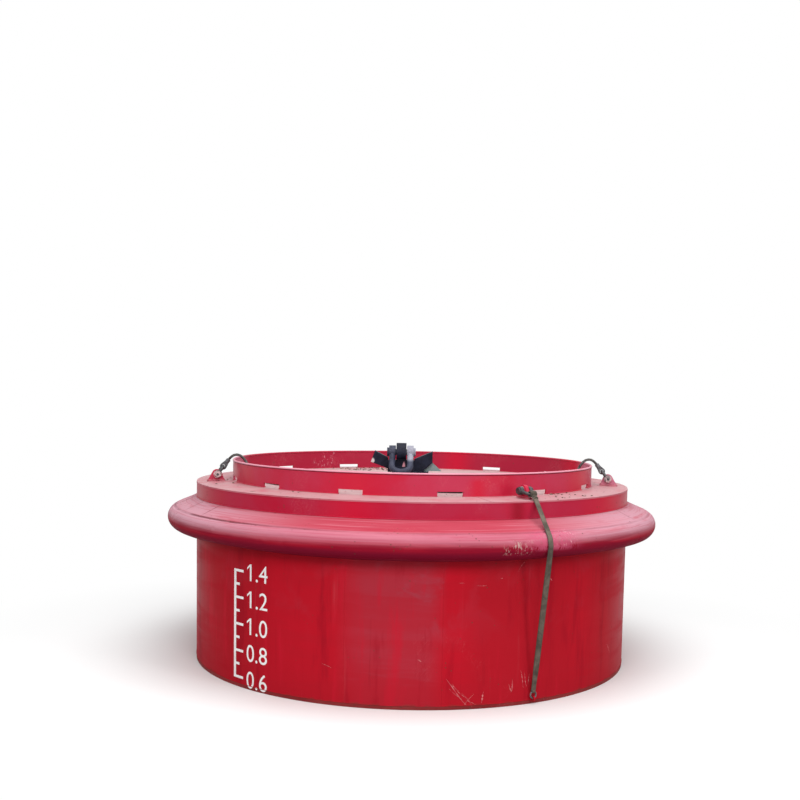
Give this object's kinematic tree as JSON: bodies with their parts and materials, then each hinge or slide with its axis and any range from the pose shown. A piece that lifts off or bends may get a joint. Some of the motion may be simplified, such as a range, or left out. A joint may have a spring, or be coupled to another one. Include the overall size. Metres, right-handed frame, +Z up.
{
  "type": "steel drum mooring buoy",
  "caption": "Drum-shaped steel mooring buoy with a round fender, a ring coaming on the deck, lifting lugs with shackles and a swivelling mooring head.",
  "frame": {"origin": "centre of the underside, on the floor it stands on", "axes": "+Z up through the hull's centre line; -Y is the side that carries the lashing strap and the draft scale"},
  "size_m": [4.0694, 4.0698, 1.783],
  "materials": {
    "hull_red": "semi-gloss marine paint",
    "coaming_red": "semi-gloss marine paint",
    "deck_red": "weathered deck paint",
    "fender_red": "painted elastomer skin",
    "bottom_paint": "dull bottom paint",
    "dark_steel": "dark forged steel",
    "worn_steel": "worn galvanised",
    "green_primer": "matt primer",
    "dark_shackle": "dark oxide",
    "galvanised": "galvanised",
    "zinc": "cast",
    "wire_rope": "greased",
    "webbing": "dirty"
  },
  "bodies": {
    "hull": {"docking_ring": "bottom_paint", "hawse_ring": "bottom_paint", "bottom_plate": "bottom_paint", "zinc_anodes": "zinc", "hull_drum": "hull_red", "sheer_band": "hull_red", "deck_plate": "deck_red", "hawse_pipe": "bottom_paint", "lower_guide": "bottom_paint", "fender_front": "fender_red", "fender_back": "fender_red", "coaming_wall": "coaming_red", "coaming_rim": "coaming_red", "bearing_base": "deck_red", "sling_rope": "wire_rope", "sling_end_left": "galvanised", "sling_end_right": "galvanised", "lashing_strap": "webbing", "strap_ring": "galvanised", "lashing_eye": "hull_red", "manhole_frame_left": "deck_red", "manhole_cover_left": "deck_red", "manhole_frame_right": "deck_red", "manhole_cover_right": "deck_red", "lifting_lug_left": "deck_red", "shackle_bow_left": "dark_shackle", "shackle_pin_left": "dark_shackle", "lifting_lug_front": "deck_red", "shackle_bow_front": "dark_shackle", "shackle_pin_front": "dark_shackle", "lifting_lug_right": "deck_red", "shackle_bow_right": "dark_shackle", "shackle_pin_right": "dark_shackle", "lifting_lug_back": "deck_red"},
    "swivel_head": {"swivel_turntable": "dark_steel", "tension_bar": "dark_steel", "horn_yoke": "dark_steel", "horn_gusset": "green_primer", "head_eye": "dark_steel", "shackle_rest_front": "dark_steel", "shackle_rest_back": "dark_steel"},
    "mooring_shackle": {"mooring_shackle_bow": "worn_steel", "mooring_shackle_pin": "worn_steel"},
    "back_lug_shackle": {"shackle_bow_back": "dark_shackle", "shackle_pin_back": "dark_shackle"}
  },
  "joints": [
    {"name": "head_swivel", "type": "hinge", "parent": "hull", "child": "swivel_head", "pos_m": [0, 0, 1.5264], "axis": [0, 0, 1], "continuous": true},
    {"name": "mooring_shackle_hinge", "type": "hinge", "parent": "swivel_head", "child": "mooring_shackle", "pos_m": [-0.0925, 0, 1.705], "axis": [-1, 0, 0], "range_deg": [0, 250]},
    {"name": "back_shackle_hinge", "type": "hinge", "parent": "hull", "child": "back_lug_shackle", "pos_m": [-0.78642, 1.4484, 1.51893], "axis": [0.8788, 0.4772, 0], "range_deg": [0, 216]}
  ]
}
